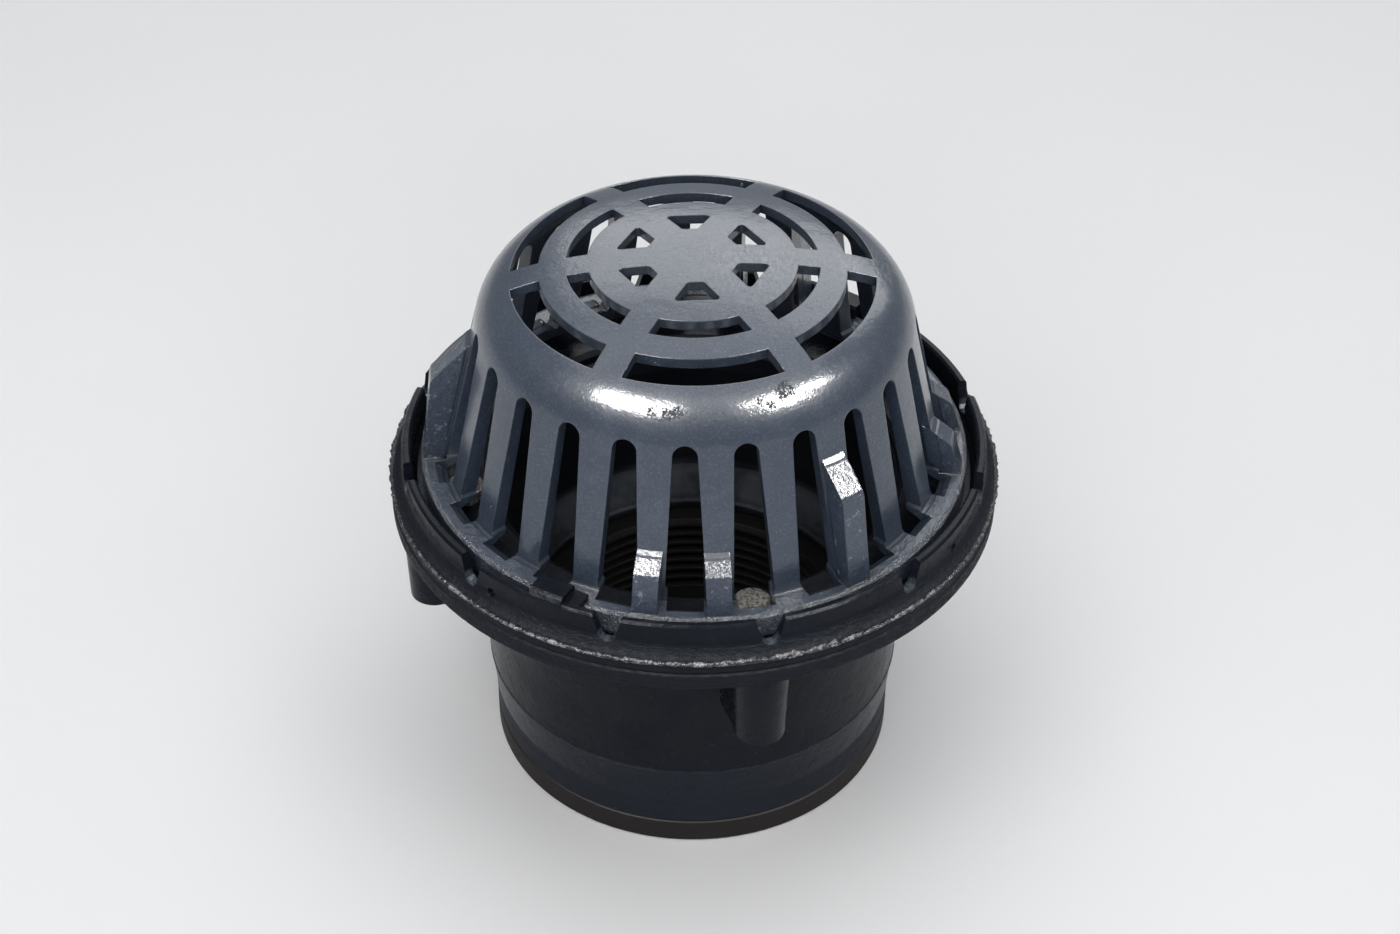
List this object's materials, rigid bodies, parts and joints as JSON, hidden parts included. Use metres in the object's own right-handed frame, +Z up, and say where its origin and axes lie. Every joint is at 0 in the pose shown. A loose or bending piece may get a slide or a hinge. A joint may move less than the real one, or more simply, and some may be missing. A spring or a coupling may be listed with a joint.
{
  "type": "dome roof drain",
  "caption": "Cast-iron roof drain with a slotted dome strainer, a castellated clamp ring, a round deck flange and a push-on outlet hub.",
  "frame": {"origin": "centre of the underside of the outlet hub, on the surface the drain stands on", "axes": "+Z up along the drain's axis, -Y towards the side seen in the picture, +X to its right"},
  "size_m": [0.2128, 0.2128, 0.204],
  "materials": {
    "dome_paint": "slate-grey semi-gloss paint on fine sand casting",
    "body_paint": "blue-black gloss paint on rough sand casting",
    "gasket_rubber": "matt brown-black moulded rubber",
    "bolt_zinc": "dull speckled zinc plate"
  },
  "bodies": {
    "root": {"dome_strainer": "dome_paint", "flashing_clamp": "body_paint", "drain_body": "body_paint", "outlet_gasket": "gasket_rubber", "clamp_bolt_front": "bolt_zinc", "clamp_bolt_right": "bolt_zinc", "clamp_bolt_back": "bolt_zinc", "clamp_bolt_left": "bolt_zinc"}
  },
  "joints": []
}
